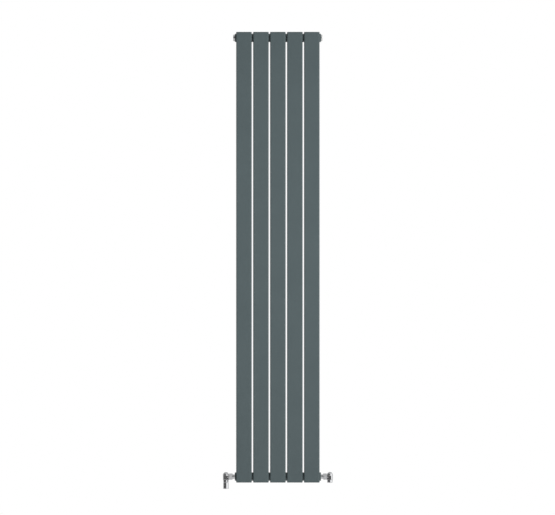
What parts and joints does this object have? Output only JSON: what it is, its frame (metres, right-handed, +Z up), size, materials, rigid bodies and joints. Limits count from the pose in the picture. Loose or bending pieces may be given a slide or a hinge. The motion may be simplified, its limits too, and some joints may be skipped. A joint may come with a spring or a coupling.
{
  "type": "vertical flat panel radiator",
  "caption": "Tall wall-hung heating radiator: flat steel panels on two round headers, with chrome angle valves, an air vent, a blanking plug and wall brackets.",
  "frame": {"origin": "on the wall's surface, at the centre of the wall screws' rectangle: midway between the panels' ends and on the radiator's middle line", "axes": "+Z up along the panels; +Y into the wall, so the panels' faces look along -Y; +X to the right of someone facing the radiator"},
  "size_m": [0.439, 0.0778, 1.825],
  "materials": {
    "powder_coat": "anthracite grey powder coat, fine texture, satin-matt",
    "zinc_bracket": "bright zinc-plated sheet steel",
    "zinc_fastener": "zinc-plated machined steel",
    "chrome": "polished chrome plate on brass",
    "brass": "turned brass, unplated",
    "copper": "drawn copper tube",
    "rubber": "black EPDM, matt",
    "white_nylon": "moulded white nylon, satin"
  },
  "bodies": {
    "radiator": {"panel_1": "powder_coat", "panel_2": "powder_coat", "panel_3": "powder_coat", "panel_4": "powder_coat", "panel_5": "powder_coat", "panel_top_plates": "powder_coat", "panel_bottom_plates": "powder_coat", "top_header": "powder_coat", "bottom_header": "powder_coat", "top_nipples": "powder_coat", "bottom_nipples": "powder_coat", "header_baffle": "powder_coat", "top_left_socket": "powder_coat", "top_left_lug": "powder_coat", "top_right_socket": "powder_coat", "top_right_lug": "powder_coat", "bottom_left_socket": "powder_coat", "bottom_left_lug": "powder_coat", "bottom_right_socket": "powder_coat", "bottom_right_lug": "powder_coat", "top_left_bracket": "zinc_bracket", "top_right_bracket": "zinc_bracket", "bottom_left_bracket": "zinc_bracket", "bottom_right_bracket": "zinc_bracket", "lock_screws": "zinc_fastener", "lock_nuts": "zinc_fastener", "blanking_plug": "chrome", "vent_plug": "chrome", "flow_valve_body": "chrome", "flow_union_nut": "chrome", "flow_pipe_nut": "chrome", "flow_tail": "chrome", "return_valve_body": "chrome", "return_union_nut": "chrome", "return_pipe_nut": "chrome", "return_tail": "chrome", "flow_pipe_sleeve": "chrome", "flow_bonnet": "brass", "flow_olive": "brass", "return_bonnet": "brass", "return_olive": "brass", "flow_pipe": "copper", "blanking_plug_seal": "rubber", "vent_plug_seal": "rubber", "flow_spindle_seal": "rubber", "flow_tail_seal": "rubber", "return_spindle_seal": "rubber", "return_tail_seal": "rubber"},
    "flow_wheel": {"flow_hand_wheel": "chrome", "flow_wheel_screw": "zinc_fastener", "flow_spindle": "brass"},
    "flow_jumper": {"flow_jumper": "brass", "flow_jumper_washer": "rubber"},
    "return_spindle": {"return_spindle": "brass"},
    "return_jumper": {"return_jumper": "brass", "return_jumper_washer": "rubber"},
    "return_cap": {"return_lockshield_cap": "chrome"},
    "drain_collar": {"drain_collar": "white_nylon"},
    "bleed_tip": {"bleed_tip": "white_nylon"},
    "bleed_screw": {"bleed_screw": "brass"}
  },
  "joints": [
    {"name": "flow_turn", "type": "hinge", "parent": "radiator", "child": "flow_wheel", "pos_m": [-0.2075, -0.047, -0.876], "axis": [0, 0, 1], "range_deg": [-1080, 0]},
    {"name": "flow_lift", "type": "slide", "parent": "radiator", "child": "flow_jumper", "axis": [0, 0, 1], "range_m": [-0.003, 0]},
    {"name": "return_turn", "type": "hinge", "parent": "radiator", "child": "return_spindle", "pos_m": [0.2075, -0.047, -0.876], "axis": [0, 0, 1], "range_deg": [-1080, 0]},
    {"name": "return_lift", "type": "slide", "parent": "radiator", "child": "return_jumper", "axis": [0, 0, 1], "range_m": [-0.003, 0]},
    {"name": "return_cap_pull", "type": "slide", "parent": "radiator", "child": "return_cap", "axis": [0, 0, 1], "range_m": [0, 0.014]},
    {"name": "drain_collar_turn", "type": "hinge", "parent": "radiator", "child": "drain_collar", "pos_m": [0.1768, -0.047, 0.876], "axis": [1, 0, 0], "continuous": true},
    {"name": "bleed_travel", "type": "slide", "parent": "radiator", "child": "bleed_tip", "axis": [1, 0, 0], "range_m": [0, 0.0015]},
    {"name": "bleed_turn", "type": "hinge", "parent": "bleed_tip", "child": "bleed_screw", "pos_m": [0.176, -0.047, 0.876], "axis": [1, 0, 0], "range_deg": [0, 540]}
  ],
  "couplings": [
    {"joint": "flow_turn", "follows": "flow_lift", "rad_per_m": 6283.2},
    {"joint": "return_turn", "follows": "return_lift", "rad_per_m": 6283.2},
    {"joint": "bleed_turn", "follows": "bleed_travel", "rad_per_m": 6283.2}
  ]
}
